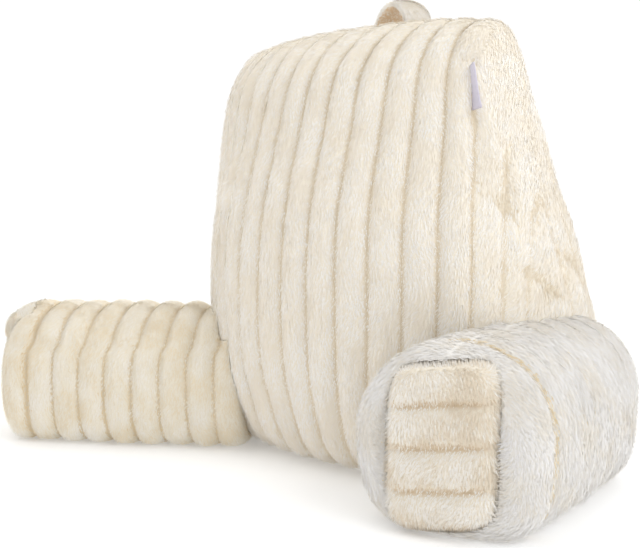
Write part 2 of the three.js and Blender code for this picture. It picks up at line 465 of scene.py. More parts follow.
def outward(points, faces):
    """The faces, turned round if they enclose a negative volume."""
    t = corner_triangles(faces)
    a, b, c = (points[t[:, j]] for j in range(3))
    if (a * np.cross(b, c)).sum() < 0:
        return [tuple(reversed(f)) for f in faces]
    return faces


def raised(points, faces, height):
    """Points moved out along their normals, each by its own height."""
    return points + point_normals(points, corner_triangles(faces)) * height[:, None]


def along_spokes(points, table, spokes):
    """The way in which the points run on round a drum, and down on its flat ends."""
    ring = points[1:-1].reshape(-1, spokes, 3)
    run = np.roll(ring, -1, axis=1) - np.roll(ring, 1, axis=1)
    run = np.concatenate([[(0, 0, -1.0)], run.reshape(-1, 3), [(0, 0, -1.0)]])
    run[table[:, 0] < ON_WALL] = (0, 0, -1)
    return unit(run)


def rotated(points, cosine, sine):
    """Points turned round Z."""
    x, y, z = points.T
    return np.column_stack([x * cosine - y * sine, x * sine + y * cosine, z])


def turned(points, degrees):
    a = math.radians(degrees)
    return rotated(points, math.cos(a), math.sin(a))


# Each form gives points in millimetres, faces, and the fields of its points: how deep in a channel a point
# lies, the way its hairs are combed, how warm they are (by random patches, and by painted shade), whether
# the simulation holds it (from HELD_FROM up), and how far its hairs stand up.

def back_form():
    table, quads, triangles = drum(BACK_SPOKES, RIB_COUNT * BACK_STEPS, BACK_PANEL_RINGS)
    reach, turn, u = table.T
    rows = np.array(BACK_PROFILE, float)
    seam = closed_curve(rows[:, :2], turn)
    middle = closed_curve(rows[:, 2:], turn)
    wall = reach > ON_WALL
    across = np.sin(FRONT_TURN * u) / math.sin(FRONT_TURN)
    crown = 1 - np.abs(across) ** CROWN_POWER
    yz = seam + (middle - seam) * crown[:, None]
    x = MIDDLE_X + across * half_width(yz[:, 1])
    centre = np.array(SIDE_CENTRE[1:])
    flat_yz = centre + (seam - centre) * reach[:, None]
    bulge = SIDE_BULGE * (1 - reach**SIDE_BULGE_POWER)
    flat_x = MIDDLE_X + np.sign(u) * (half_width(flat_yz[:, 1]) + bulge)
    points = np.column_stack([np.where(wall, x, flat_x), np.where(wall[:, None], yz, flat_yz)])
    in_front = points[:, 1] < 0

    # Ribs, which fade out high on the side panels and beside the label's seam.
    to_rim = (1 - reach) * SIDE_REACH
    side_rib = ridge(to_rim / SIDE_RIB_PITCH)
    shallow = smoothstep(points[:, 2], SIDE_RIBS_FROM, SIDE_RIBS_TO) * (to_rim > SIDE_RIB_PITCH / 2)
    side_rib += (1 - side_rib) * shallow
    rib = np.where(wall, ridge((u + 1) / 2 * RIB_COUNT), side_rib)
    last_rib = 1 - 2 / RIB_COUNT
    by_seam = (u > last_rib) & (to_rim < SIDE_RIB_PITCH / 2)
    faded = smoothstep(points[:, 2], SEAM_FADE_FROM, SEAM_FADE_TO) * by_seam * in_front
    beside = smoothstep(u, 1 - 1 / RIB_COUNT, 1)
    rib += (1 - rib) * SEAM_FADE_SHARE * faded * np.where(wall, beside, 1)

    # Creases, of the side panel and across the last rib.
    creased, drawn_in = np.zeros(len(points)), np.zeros(len(points))
    for first, last, depth, width in SIDE_CREASES:
        share = trough(points[:, 1:], first, last, width) * (~wall & (u > 0))
        creased, drawn_in = creased + depth * share, np.maximum(drawn_in, share)
    across_rib = np.clip((u - last_rib) * RIB_COUNT / 2, 0, 1) * (wall & in_front)
    for level, depth, width in SEAM_CREASES:
        low = level + SEAM_CREASE_SWAY * waves(points, *SEAM_CREASE_NOISE)
        share = bell(points[:, 2] - low, width) * across_rib
        creased, drawn_in = creased + depth * share, np.maximum(drawn_in, share)

    faces = outward(points, quads + triangles)
    comb = -along_spokes(points, table, BACK_SPOKES)
    height = RIB_HEIGHT * rib * np.where(wall, 1, SIDE_RIB_SHARE) - SKIN_INSET - creased
    # The side panel's patches differ at random. The creases and the foot of the back are warmer, as painted
    # shade.
    patches = SIDE_WARMTH * smoothstep(waves(points, *SIDE_PATCHES), -0.2, 1)
    warm = np.where(wall, 0, patches) + CREASE_SHADE * creased
    warm += FOOT_SHADE * smoothstep(-points[:, 2], -FOOT_SHADE_TOP, -FOOT_SHADE_BASE) * wall
    points = uneven(raised(points, faces, height + LUMPS * rib * waves(points, *BACK_LUMPS)))
    # Creases count as channels, and so also take the channels' painted shade.
    groove = np.maximum(1 - rib, CREASE_GROOVE * drawn_in)
    return points, faces, dict(groove=groove, comb=comb, warm=warm, held=1 - rib, stand=0 * u)


def arm_form(row):
    length, half = row["length"], row["height"] / 2
    rings = round(length / ARM_RING_PITCH)
    table, quads, triangles = drum(ARM_SPOKES, rings * ARM_STEPS, ARM_PANEL_RINGS)
    reach, turn, v = table.T
    wall = reach > ON_WALL
    angle = turn * 2 * np.pi
    c, s = np.cos(angle), np.sin(angle)
    along = (v + 1) / 2 * length
    in_end = np.clip(1 - np.minimum(along, length - along) / ARM_END_ROUND, 0, 1)
    shrink = 1 - ARM_END_SHRINK * (1 - np.sqrt(1 - in_end**2))
    power = 2 / np.where(s > 0, ARM_TOP_POWER, ARM_BASE_POWER)
    dome = np.where(wall, 0, (1 - reach**2) * ARM_END_DOME * np.sign(v))
    across = ARM_WIDTH / 2 * reach * shrink * signed_power(c, power)
    up = half * reach * shrink * signed_power(s, power)
    slanted = across * math.tan(math.radians(row["cap_turn"])) * np.maximum(0, 1 - along / SLANT_FADE)
    level = up / half
    step = smoothstep(level, KINK_LEVEL - KINK_WIDTH, KINK_LEVEL + KINK_WIDTH) - 0.5
    kink = row["kink"] * step * (1 - in_end) * wall
    points = np.column_stack([across, along + dome + slanted + kink, half - ARM_SUNK + up])

    # Rings, the first of them without a channel at the rounded end.
    ring = (v + 1) / 2 * rings
    rib = np.where(wall, np.where(ring < 0.5, 1, ridge(ring)), 0)
    held = np.where(wall, 1 - rib, END_GROOVE)
    rib = np.where(wall & (ring > 1.5), 1 - row["channel"] * (1 - rib), rib)

    faces = outward(points, quads + triangles)
    comb = along_spokes(points, table, ARM_SPOKES)
    comb[comb[:, 2] > 0] *= -1
    inward = np.column_stack([-signed_power(c, 3), 0 * c, -s])
    comb = turned(np.where(wall[:, None], comb, inward), row["yaw"])
    pulled = KINK_PULL * row["kink"] * bell(level - KINK_LEVEL, KINK_WIDTH) * (1 - in_end) * wall
    lumps = LUMPS * rib * waves(points, *ARM_LUMPS)
    points = raised(points, faces, RIB_HEIGHT * rib - pulled - SKIN_INSET + lumps)
    points = uneven(turned(points, row["yaw"]) + (*row["front"], 0))
    # Painted shade: warmer in the first channel of the rings and on the domed ends. The patches differ at
    # random.
    first_channel_shade = FIRST_CHANNEL_SHADE * bell(ring - 1, FIRST_CHANNEL_WIDTH)
    patches = ARM_WARMTH * smoothstep(waves(points, *ARM_PATCHES), 0.2, 1)
    warm = np.where(wall, first_channel_shade + patches, END_DOME_SHADE)
    groove = np.where(wall, 1 - rib, END_GROOVE)
    stand = np.where(wall, 0, END_STAND)
    return points, faces, dict(groove=groove, comb=comb, warm=warm, held=held, stand=stand)


def box_grid(nx, ny, nz):
    """The surface of a box from -1 to 1, in even cells: points and quads."""
    index, points, quads = {}, [], []

    def at(i, j, k):
        if (i, j, k) not in index:
            index[i, j, k] = len(points)
            points.append((2 * i / nx - 1, 2 * j / ny - 1, 2 * k / nz - 1))
        return index[i, j, k]

    def cell(flip, *corners):
        quad = tuple(at(*corner) for corner in corners)
        quads.append(quad[::-1] if flip else quad)

    for i in range(nx):
        for k in range(nz):
            for j in (0, ny):
                cell(j > 0, (i, j, k), (i + 1, j, k), (i + 1, j, k + 1), (i, j, k + 1))
    for j in range(ny):
        for k in range(nz):
            for i in (0, nx):
                cell(i > 0, (i, j, k), (i, j, k + 1), (i, j + 1, k + 1), (i, j + 1, k))
    for i in range(nx):
        for j in range(ny):
            for k in (0, nz):
                cell(k > 0, (i, j, k), (i, j + 1, k), (i + 1, j + 1, k), (i + 1, j, k))
    return np.array(points), quads


def cap_form(row, grow, open_front):
    """An end panel or, with its front open, the block that cuts the recess for it."""
    start, quads = box_grid(CAP_COLUMNS, CAP_LAYERS, CAP_RIBS * CAP_STEPS)
    x, y, z = start.T
    square = np.maximum(np.abs(x), np.abs(z))
    size = np.abs(x) ** CAP_CORNER_POWER + np.abs(z) ** CAP_CORNER_POWER
    rounding = np.where(size > 0, square / np.maximum(size, SHORT) ** (1 / CAP_CORNER_POWER), 1)
    pull = 1 + (rounding - 1) * square**4
    channel = (1 - ridge((z + 1) / 2 * CAP_RIBS)) * (1 - np.abs(x) ** CAP_CHANNEL_FADE)
    rim_x = 1 - np.abs(x) ** CAP_RIM_POWER
    rim_z = 1 - np.abs(z) ** CAP_RIM_POWER
    puff = (CAP_CROWN * rim_z + CAP_RIB_HEIGHT * (rim_z - channel)) * rim_x
    if open_front:
        puff = np.full(len(x), RECESS_REACH)
    front = y < -ON_EDGE
    across = (CAP_WIDTH / 2 + grow) * x * pull
    points = np.column_stack([
        across,
        (CAP_THICKNESS / 2 + grow) * y - np.where(front, puff, 0),
        (CAP_HEIGHT / 2 + grow) * z * pull - across * math.tan(math.radians(row["cap_slant"])),
    ])
    points += (row["cap_shift"], CAP_INSET, 0)
    points = turned(points, row["yaw"] + row["cap_turn"]) + (*row["front"], CAP_Z)
    faces = outward(points, quads)
    edge = square > ON_EDGE
    groove = np.where(front, np.where(edge, CAP_EDGE_GROOVE, channel), CAP_RIM_GROOVE)
    held = np.where(front & ~edge, channel, 1)
    # Painted shade and light: each rib is warmer and deeper towards the channel below it, the whole front
    # is paler, and the sides in the recess are warmer.
    below = (-(z + 1) / 2 * CAP_RIBS) % 1
    warm = np.where(front, CAP_RIB_SHADE * smoothstep(below, 0.3, 1) - CAP_RIB_LIGHT, CAP_RECESS_SHADE)
    comb = np.column_stack([1.5 * signed_power(x, 8), 0 * x, -1 + 2 * smoothstep(z, 0.88, 0.97)])
    comb = turned(comb, row["yaw"] + row["cap_turn"])
    stand = smoothstep(square, 0.84, 0.97)
    return points, faces, dict(groove=groove, comb=comb, warm=warm, held=held, stand=stand)


def strap_form():
    start, quads = box_grid(*STRAP_GRID)
    x, y, z = start.T
    turn = x * np.pi / 2
    thick = STRAP_THICKNESS * (1 - STRAP_THINNING * np.abs(y) ** 3)
    reach = STRAP_SPAN / 2 + z / 2 * thick
    rise = STRAP_RISE + STRAP_SUNK + z / 2 * thick
    up = np.abs(np.cos(turn)) ** STRAP_ROUNDNESS
    px, py, pz = STRAP_PLACE
    points = np.column_stack([reach * np.sin(turn), y / 2 * (STRAP_WIDTH - STRAP_INSET), rise * up])
    points = turned(points, STRAP_TURN) + (px, py, pz - STRAP_SUNK)
    faces = outward(points, quads)
    comb = np.column_stack([np.cos(turn), np.zeros(len(x)), -np.sin(turn)]) * np.sign(turn + SHORT)[:, None]
    comb = turned(comb, STRAP_TURN)
    # The inner side is painted with the channels' shade.
    inner = np.where(z < -0.9, STRAP_INNER_CHANNEL_SHADE, STRAP_EDGE_GROOVE)
    groove = np.where(z > 0, STRAP_OUTER_GROOVE, inner)
    return points, faces, dict(groove=groove, comb=comb, warm=0 * x, held=groove, stand=0 * x)


def seam_point(z):
    """The point of the right front seam at a height."""
    rows = np.array(BACK_PROFILE, float)[:, :2]
    shares = np.linspace(SEAM_START_ROW / len(rows), SEAM_TOP_ROW / len(rows), SEAM_SAMPLES)
    curve = closed_curve(rows, shares)
    y, z = curve[np.argmin(np.abs(curve[:, 1] - z))]
    return MIDDLE_X + float(half_width(np.array(z))), y, z


def tag_form():
    """A strip folded once, as a closed hairpin section, with a slight wave along the fold."""
    outer, inner = TAG_LAYER + TAG_GAP / 2, TAG_GAP / 2
    straight = TAG_REACH - outer
    runs = np.linspace(0, straight, TAG_RUN_STEPS)
    bend = np.linspace(-np.pi / 2, np.pi / 2, TAG_BEND_STEPS)[1:-1]
    ring = [(r, -outer) for r in runs]
    ring += [(straight + outer * math.cos(b), outer * math.sin(b)) for b in bend]
    ring += [(r, outer) for r in runs[::-1]] + [(r, inner) for r in runs]
    ring += [(straight + inner * math.cos(b), inner * math.sin(b)) for b in bend[::-1]]
    ring += [(r, -inner) for r in runs[::-1]]
    ring = np.array(ring)
    levels = np.linspace(-TAG_LENGTH / 2, TAG_LENGTH / 2, TAG_LEVELS)
    points = np.array([
        (x, y + TAG_WAVE * math.sin(z / TAG_WAVE_LENGTH) * (x / TAG_REACH) ** 2, z)
        for z in levels for x, y in ring
    ])
    n = len(ring)
    quads = [
        (k * n + i, k * n + (i + 1) % n, (k + 1) * n + (i + 1) % n, (k + 1) * n + i)
        for k in range(len(levels) - 1)
        for i in range(n)
    ]
    ends = []
    for k in (0, len(levels) - 1):
        for i in range(n // 2 - 1):
            quad = (k * n + i, k * n + i + 1, k * n + n - 2 - i, k * n + n - 1 - i)
            ends.append(quad[::-1] if k == 0 else quad)
    x, y, z = points.T
    points = np.column_stack([
        x * math.cos(TAG_LEAN) + z * math.sin(TAG_LEAN), y, -x * math.sin(TAG_LEAN) + z * math.cos(TAG_LEAN)
    ])
    angle = TAG_TURN + TAG_TWIST * (0.5 - levels.repeat(n) / TAG_LENGTH)
    px, py, pz = seam_point(TAG_Z)
    points = rotated(points, np.cos(angle), np.sin(angle)) + (px - TAG_SUNK, py, pz)
    return points, outward(points, quads + ends)


# Objects

def link(obj):
    bpy.context.scene.collection.objects.link(obj)
    return obj


def write_field(mesh, key, values):
    """Gives the mesh one named value or vector a point."""
    values = np.asarray(values, np.float32)
    flat = values.ndim == 1
    if key in mesh.attributes:
        mesh.attributes.remove(mesh.attributes[key])
    field = mesh.attributes.new(key, "FLOAT" if flat else "FLOAT_VECTOR", "POINT")
    field.data.foreach_set("value" if flat else "vector", values.ravel())


def read_field(mesh, key, vector=False):
    flat = np.empty(len(mesh.vertices) * (3 if vector else 1), np.float32)
    mesh.attributes[key].data.foreach_get("vector" if vector else "value", flat)
    return flat.reshape(-1, 3).astype(float) if vector else flat.astype(float)


def make(name, points, faces, **fields):
    """A mesh object from points in millimetres, with its fields."""
    mesh = bpy.data.meshes.new(name)
    mesh.from_pydata((points * MM).tolist(), [], faces)
    for key, values in fields.items():
        write_field(mesh, key, values)
    mesh.shade_smooth()
    return link(bpy.data.objects.new(name, mesh))


def coordinates(mesh):
    flat = np.empty(len(mesh.vertices) * 3, np.float32)
    mesh.vertices.foreach_get("co", flat)
    return flat.reshape(-1, 3).astype(float)


def move_to(mesh, points):
    """Moves the mesh's points, and lifts those that are below the floor onto it."""
    points[:, 2] = np.maximum(points[:, 2], 0)
    mesh.vertices.foreach_set("co", points.astype(np.float32).ravel())
    mesh.update()


def evaluated_mesh(obj):
    deps = bpy.context.evaluated_depsgraph_get()
    final = obj.evaluated_get(deps)
    return bpy.data.meshes.new_from_object(final, preserve_all_data_layers=True, depsgraph=deps)


def swell(obj, limit_mm):
    """Blows the ribs up by cloth simulation, held along the sewn channels, and keeps the result."""
    mesh = obj.data
    start = coordinates(mesh)
    pins = np.flatnonzero((read_field(mesh, "held") > HELD_FROM) | (start[:, 2] < FLOOR_BAND * MM))
    obj.vertex_groups.new(name="seams").add(pins.tolist(), 1.0, "REPLACE")
    cloth = obj.modifiers.new("cloth", "CLOTH")
    cloth.settings.quality = CLOTH_QUALITY
    cloth.settings.vertex_group_mass = "seams"
    cloth.settings.use_pressure = True
    cloth.settings.uniform_pressure_force = CLOTH_PRESSURE
    cloth.settings.effector_weights.gravity = 0
    cloth.collision_settings.use_collision = False
    cloth.collision_settings.use_self_collision = False
    scene = bpy.context.scene
    for f in range(1, CLOTH_FRAMES + 1):
        scene.frame_set(f)
    deps = bpy.context.evaluated_depsgraph_get()
    end = coordinates(obj.evaluated_get(deps).data)
    obj.modifiers.remove(cloth)
    obj.vertex_groups.clear()
    scene.frame_set(1)
    move = end - start
    far = np.linalg.norm(move, axis=1)
    move *= np.minimum(1, limit_mm * MM / np.maximum(far, SHORT))[:, None]
    print(f"{obj.name}: swelled by {far.mean() / MM:.1f} mm, at most {far.max() / MM:.1f} mm")
    move_to(mesh, start + move)


def smooth(obj):
    """Divides the object's faces once, for good."""
    mod = obj.modifiers.new("finer", "SUBSURF")
    mod.levels = mod.render_levels = 1
    mod.boundary_smooth = "PRESERVE_CORNERS"
    mesh = evaluated_mesh(obj)
    obj.modifiers.clear()
    obj.data = mesh
    mesh.shade_smooth()
    move_to(mesh, coordinates(mesh))


def cut_away(obj, cutter):
    """Takes the cutter out of the object, and gives the cut mesh the fields of the nearest old points."""
    old = obj.data
    mod = obj.modifiers.new("cut", "BOOLEAN")
    mod.operation = "DIFFERENCE"
    mod.object = cutter
    mod.solver = "MANIFOLD"
    mesh = evaluated_mesh(obj)
    obj.modifiers.clear()
    bpy.data.objects.remove(cutter)
    places = coordinates(old)
    tree = KDTree(len(places))
    for i, p in enumerate(places):
        tree.insert(p, i)
    tree.balance()
    nearest = np.array([tree.find(p)[1] for p in coordinates(mesh)])
    for key, vector in (("groove", False), ("warm", False), ("stand", False), ("comb", True)):
        write_field(mesh, key, read_field(old, key, vector)[nearest])
    obj.data = mesh
    mesh.shade_smooth()


def triangles_of(mesh):
    mesh.calc_loop_triangles()
    flat = np.empty(len(mesh.loop_triangles) * 3, np.int32)
    mesh.loop_triangles.foreach_get("vertices", flat)
    return flat.reshape(-1, 3)


def tree_of(obj):
    points = coordinates(obj.data)
    return BVHTree.FromPolygons(points.tolist(), triangles_of(obj.data).tolist())


def clear_of(points, tree, margin_mm, signed=True):
    """Whether each point is further from a closed skin than the margin and, if signed, outside it."""
    margin = margin_mm * MM
    clear = np.ones(len(points), bool)
    for i, p in enumerate(points.tolist()):
        place, normal, _, gap = tree.find_nearest(p)
        side = (p[0] - place.x) * normal.x + (p[1] - place.y) * normal.y + (p[2] - place.z) * normal.z
        clear[i] = (side > 0 or not signed) and gap > margin
    return clear


# Pile

def pile(
    name, skin, count, inside, blocks, seed, finishes,
    length_mm=PILE_LENGTH, width_mm=PILE_WIDTH, lift=PILE_LIFT,
):
    """Short hairs on a skin as one mesh of slim triangles, shaded with the skin's own normals.

    "inside" picks faces by their normals. Each block is a neighbour's tree, with the gaps that tips and
    roots keep from it. With None for the tips' gap only roots are tested, and by distance alone.
    """
    rng = np.random.default_rng(seed)
    points, triangles = coordinates(skin.data), triangles_of(skin.data)
    normals = point_normals(points, triangles)
    groove, warm, stand = (read_field(skin.data, key) for key in ("groove", "warm", "stand"))
    comb = read_field(skin.data, "comb", True)

    # Roots, spread over the faces by their area.
    a, b, c = (points[triangles[:, j]] for j in range(3))
    centre = (a + b + c) / 3
    face_normal = np.cross(b - a, c - a)
    area = np.linalg.norm(face_normal, axis=1) / 2
    face_normal = unit(face_normal, SHORTEST)
    underside = (centre[:, 2] < UNDERSIDE_BAND * MM) & (face_normal[:, 2] < UNDERSIDE_FACING)
    area = area * inside(face_normal) * ~underside
    area = area * (groove[triangles].mean(1) < BARE_GROOVE)
    steps = (np.arange(count) + rng.random(count)) / count
    face = np.searchsorted(np.cumsum(area) / area.sum(), steps).clip(0, len(area) - 1)
    r1, r2 = np.sqrt(rng.random(count)), rng.random(count)
    share = np.column_stack([1 - r1, r1 * (1 - r2), r1 * r2])
    corner = triangles[face]

    def blend(values):
        shares = share[:, :, None] if values.ndim > 1 else share
        return sum(values[corner[:, j]] * shares[:, j] for j in range(3))

    root, n, g, h, d = blend(points), unit(blend(normals)), blend(groove), blend(warm), blend(comb)
    mm = root / MM

    # The way and the lift of each hair.
    swirl = sum(np.radians(degrees) * waves(mm, size, seed + more) for size, more, degrees in SWIRL_NOISES)
    swirl += rng.normal(0, math.radians(SWIRL_SPREAD), count)
    d = unit(d - n * (d * n).sum(1)[:, None])
    side = np.cross(n, d)
    way = d * np.cos(swirl)[:, None] + side * np.sin(swirl)[:, None]
    size, more = LIFT_NOISE
    rise = np.radians(lift) * (1 + LIFT_SWING * waves(mm, size, seed + more))
    rise = rise + rng.normal(0, math.radians(LIFT_SPREAD), count)
    rise = np.clip(rise, math.radians(LIFT_LEAST), math.radians(LIFT_MOST))
    rise = (rise + np.radians(STAND_ANGLE) * blend(stand))[:, None]
    long = length_mm * MM * rng.uniform(*LENGTH_SPREAD, count) * (1 - GROOVE_SHORTENS * g**2)
    root_rise = rng.random(count) ** ROOT_POWER * ROOT_SPREAD * MM * (1 - GROOVE_LOWERS * g)
    root = root + n * root_rise[:, None]
    tip = root + long[:, None] * (way * np.cos(rise) + n * np.sin(rise))

    # Only those clear of the floor and the neighbours stay.
    keep = (tip[:, 2] > TIP_ABOVE_FLOOR * MM) & (root[:, 2] > ROOT_ABOVE_FLOOR * MM)
    for tree, tip_gap, root_gap in blocks:
        keep[keep] = clear_of(root[keep], tree, root_gap, tip_gap is not None)
        if tip_gap is not None:
            keep[keep] = clear_of(tip[keep], tree, tip_gap)
    root, tip, n, g, h, way, mm = (v[keep] for v in (root, tip, n, g, h, way, mm))
    total = len(root)

    wide = np.cross(n, way)
    spin = rng.normal(0, math.radians(SPIN_SPREAD), total)[:, None]
    wide = wide * np.cos(spin) + n * np.sin(spin)
    wide *= (width_mm * MM / 2 * rng.uniform(*WIDTH_SPREAD, total))[:, None]
    sunk = n * ROOT_SUNK * MM
    corners = np.stack([root + wide - sunk, root - wide - sunk, tip], 1).reshape(-1, 3)
    corners[:, 2] = np.maximum(corners[:, 2], ROOT_ABOVE_FLOOR * MM)
    shade = unit(n + rng.normal(0, SHADE_SPREAD, (total, 3)))

    tint = sum(part * waves(mm, size, seed + more) for size, more, part in TINT_NOISES)
    tint = tint + rng.normal(0, TINT_SPREAD, total)
    # Warmth deepens a hair's tone: in random patches, and as painted shade.
    tint -= TINT_WARMTH * h
    slot = np.where(tint > TINT_STEP, 0, np.where(tint > -TINT_STEP, 1, 2))
    # Hairs deep in a channel, or warm, take the last tone, a painted shade.
    in_channel_shade = g + h + rng.normal(0, CHANNEL_SHADE_SPREAD, total) > CHANNEL_SHADE_FROM
    slot = np.where(in_channel_shade, 3, slot)

    mesh = bpy.data.meshes.new(name)
    mesh.vertices.add(total * 3)
    mesh.vertices.foreach_set("co", corners.astype(np.float32).ravel())
    mesh.loops.add(total * 3)
    mesh.loops.foreach_set("vertex_index", np.arange(total * 3, dtype=np.int32))
    mesh.polygons.add(total)
    mesh.polygons.foreach_set("loop_start", np.arange(0, total * 3, 3, dtype=np.int32))
    for finish in finishes:
        mesh.materials.append(finish)
    mesh.polygons.foreach_set("material_index", slot.astype(np.int32))
    mesh.update()
    mesh.normals_split_custom_set_from_vertices(np.repeat(shade, 3, 0).tolist())
    obj = link(bpy.data.objects.new(name, mesh))
    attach(obj, "root")
    print(f"{name}: {total} hairs")


# Materials

def linear(red, green, blue):
    """A colour given as the 0 to 255 values of a screen, by the sRGB curve."""
    def one(v):
        v /= 255
        return v / 12.92 if v <= 0.04045 else ((v + 0.055) / 1.055) ** 2.4
    return (one(red), one(green), one(blue), 1.0)


def plain(name, colour, roughness=0.9, sheen=0.25):
    mat = bpy.data.materials.new(name)
    mat.use_nodes = True
    shader = mat.node_tree.nodes["Principled BSDF"]
    shader.inputs["Base Color"].default_value = colour
    shader.inputs["Roughness"].default_value = roughness
    shader.inputs["Specular IOR Level"].default_value = FABRIC_SPECULAR
    shader.inputs["Sheen Weight"].default_value = sheen
    shader.inputs["Sheen Roughness"].default_value = SHEEN_ROUGHNESS
    return mat


def noise(tree, place, size_mm, detail):
    """Noise in the object's own coordinates, as its output."""
    node = tree.nodes.new("ShaderNodeTexNoise")
    node.inputs["Scale"].default_value = 1 / (size_mm * MM)
    node.inputs["Detail"].default_value = detail
    tree.links.new(place.outputs["Object"], node.inputs["Vector"])
    return node.outputs["Fac"]


def raise_by(tree, height, strength, depth_mm):
    """Lets a height bump the material's surface."""
    bump = tree.nodes.new("ShaderNodeBump")
    bump.inputs["Strength"].default_value = strength
    bump.inputs["Distance"].default_value = depth_mm * MM
    tree.links.new(height, bump.inputs["Height"])
    tree.links.new(bump.outputs["Normal"], tree.nodes["Principled BSDF"].inputs["Normal"])


def cloth_material(name, pale, warm, deep):
    """Backing cloth: patches of two tones, painted shade deeper in the channels, with fine fibres raised on
    it.
    """
    mat = plain(name, pale)
    tree = mat.node_tree
    place = tree.nodes.new("ShaderNodeTexCoord")
    tones = tree.nodes.new("ShaderNodeMix")
    tones.data_type = "RGBA"
    tones.inputs["A"].default_value = pale
    tones.inputs["B"].default_value = warm
    tree.links.new(noise(tree, place, PATCH_SIZE, PATCH_DETAIL), tones.inputs["Factor"])
    depth = tree.nodes.new("ShaderNodeAttribute")
    depth.attribute_name = "groove"
    curve = tree.nodes.new("ShaderNodeMapRange")
    curve.inputs["From Min"].default_value = CHANNEL_SHADE_RANGE[0]
    curve.inputs["From Max"].default_value = CHANNEL_SHADE_RANGE[1]
    tree.links.new(depth.outputs["Fac"], curve.inputs["Value"])
    channel = tree.nodes.new("ShaderNodeMix")
    channel.data_type = "RGBA"
    channel.inputs["B"].default_value = deep
    tree.links.new(curve.outputs["Result"], channel.inputs["Factor"])
    tree.links.new(tones.outputs["Result"], channel.inputs["A"])
    tree.links.new(channel.outputs["Result"], tree.nodes["Principled BSDF"].inputs["Base Color"])
    raise_by(tree, noise(tree, place, FIBRE_SIZE, FIBRE_DETAIL), FIBRE_STRENGTH, FIBRE_DEPTH)
    return mat


def tape_material(name):
    """Fine woven tape, blank: two crossing sets of threads, in a lavender grey that is painted shade."""
    # Painted shade: the label's lavender grey stands in for the shade on it.
    mat = plain(name, linear(214, 209, 222), roughness=0.6, sheen=0.1)
    tree = mat.node_tree
    place = tree.nodes.new("ShaderNodeTexCoord")
    both = tree.nodes.new("ShaderNodeMath")
    both.operation = "ADD"
    for socket, axis in zip(both.inputs, ("Z", "DIAGONAL")):
        threads = tree.nodes.new("ShaderNodeTexWave")
        threads.wave_type = "BANDS"
        threads.bands_direction = axis
        threads.inputs["Scale"].default_value = THREAD_SCALE
        tree.links.new(place.outputs["Object"], threads.inputs["Vector"])
        tree.links.new(threads.outputs["Fac"], socket)
    raise_by(tree, both.outputs[0], THREAD_STRENGTH, THREAD_DEPTH)
    return mat


def pile_finishes(name, *tones):
    """One finish for each tone of hair: pale, middle, deep and, as painted shade, in channels."""
    return [plain(f"{name}_{k}", linear(*tone)) for k, tone in enumerate(tones)]


BODY_PILE = pile_finishes("body_pile", (254, 251, 246), (252, 247, 239), (249, 241, 228), (237, 224, 201))
# A greyer, darker copy of the pile for the near arm, as painted shade.
NEAR_SHADED_PILE = pile_finishes("near_shaded_pile", (243, 241, 239), (240, 237, 233), (238, 232, 222), (237, 220, 186))
# A warmer, deeper copy of the pile for the far arm and its end panel, as painted shade.
FAR_SHADED_PILE = pile_finishes("far_shaded_pile", (254, 249, 239), (252, 245, 229), (247, 235, 211), (236, 216, 178))
# Darker, warmer copies of the pile for the near end panel, as painted shade. The deepest tones carry the
# painted shade of the ribs' lower parts.
END_SHADED_PILE = pile_finishes("end_shaded_pile", (252, 248, 241), (247, 240, 228), (236, 223, 203), (222, 203, 176))
# The strap's last tone, orange-tan, is painted shade on its inner side.
STRAP_PILE = pile_finishes("strap_pile", (254, 251, 246), (253, 248, 240), (250, 243, 230), (232, 206, 170))
plush = cloth_material("plush", linear(250, 244, 232), linear(247, 238, 219), linear(226, 211, 186))
# A greyer, darker copy of the cloth for the near arm, as painted shade.
near_shaded_plush = cloth_material(
    "near_shaded_plush", linear(242, 240, 236), linear(240, 235, 226), linear(228, 214, 190)
)
# A darker, warmer copy of the cloth for the end panels, as painted shade.
end_plush = cloth_material("end_plush", linear(245, 238, 224), linear(242, 231, 210), linear(222, 200, 168))
# The strap's cloth: its deep orange-tan tone is painted shade on the strap's inner side.
strap_plush = cloth_material(
    "strap_plush", linear(251, 246, 236), linear(248, 239, 222), linear(230, 198, 157)
)
tape = tape_material("label_cloth")


# Camera, light and floor

scene = bpy.context.scene
camera_data = bpy.data.cameras.new("camera")
camera_data.lens = CAMERA_LENS
camera_data.sensor_width = CAMERA_SENSOR
camera = link(bpy.data.objects.new("camera", camera_data))
camera.location = CAMERA_PLACE
camera.rotation_euler = (math.radians(90 + CAMERA_PITCH), 0, math.radians(CAMERA_AZIMUTH))
scene.camera = camera
scene.view_settings.view_transform = "Standard"


def lamp(name, place, target, size, power, colour):
    data = bpy.data.lights.new(name, "AREA")
    data.shape = "DISK"
    data.size = size
    data.energy = power
    data.color = colour
    obj = link(bpy.data.objects.new(name, data))
    obj.location = place
    obj.rotation_euler = (Vector(target) - Vector(place)).to_track_quat("-Z", "Y").to_euler()


world = bpy.data.worlds.new("studio")
world.use_nodes = True
sky = world.node_tree
way_out = sky.nodes.new("ShaderNodeTexCoord")
facing = sky.nodes.new("ShaderNodeVectorMath")
facing.operation = "DOT_PRODUCT"
facing.inputs[1].default_value = DIM_SIDE
sky.links.new(way_out.outputs["Generated"], facing.inputs[0])
level = sky.nodes.new("ShaderNodeMapRange")
level.interpolation_type = "SMOOTHSTEP"
level.inputs["From Min"].default_value = DIM_FROM
level.inputs["From Max"].default_value = DIM_TO
level.inputs["To Min"].default_value = ROOM_BRIGHT
level.inputs["To Max"].default_value = ROOM_DIM
sky.links.new(facing.outputs["Value"], level.inputs["Value"])
sky.nodes["Background"].inputs["Color"].default_value = (1, 1, 1, 1)
sky.links.new(level.outputs["Result"], sky.nodes["Background"].inputs["Strength"])
scene.world = world
lamp("key", **KEY_LAMP)
lamp("top", **TOP_LAMP)

